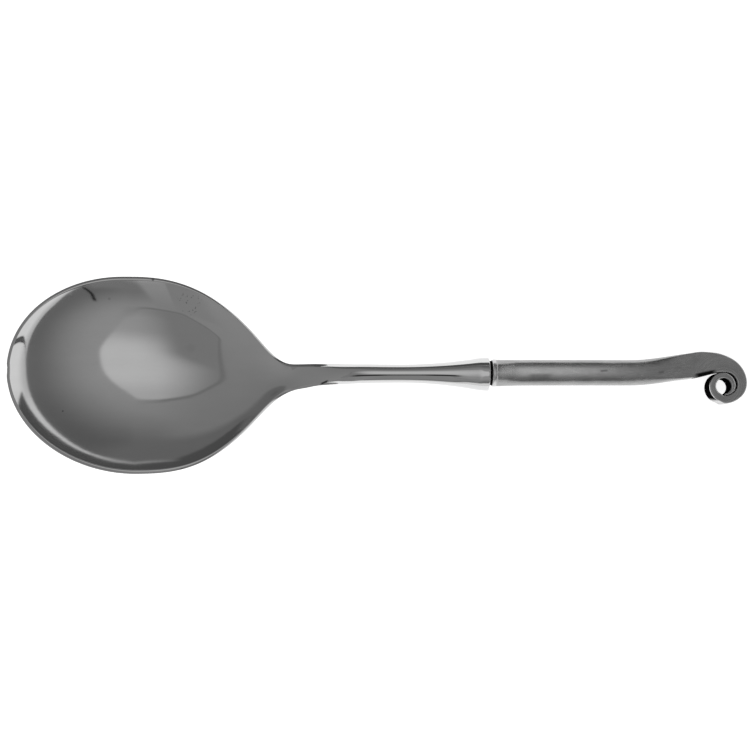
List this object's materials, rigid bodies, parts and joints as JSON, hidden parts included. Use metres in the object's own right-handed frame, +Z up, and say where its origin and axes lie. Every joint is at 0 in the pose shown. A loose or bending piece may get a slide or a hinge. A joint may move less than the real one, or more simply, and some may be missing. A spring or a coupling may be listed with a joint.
{
  "type": "casserole spoon",
  "caption": "Long serving spoon with a polished oval bowl, a neck that climbs from it and turns round into a trumpet collar, and a satin forged bar handle ending in a rolled scroll.",
  "frame": {"origin": "on the resting plane, under the middle of the spoon's length and width", "axes": "+X along the spoon from the bowl's tip towards the scroll, +Y to the left as seen from the tip, away from the side the scroll rolls to, +Z up, out of the bowl's hollow"},
  "size_m": [0.2426, 0.0646, 0.0234],
  "materials": {
    "polished_steel": "mirror-polished stainless steel with fine scratches from use",
    "satin_steel": "satin forged stainless steel with slight hammer marks"
  },
  "bodies": {
    "root": {"spoon_head": "polished_steel", "scroll_handle": "satin_steel"}
  },
  "joints": []
}
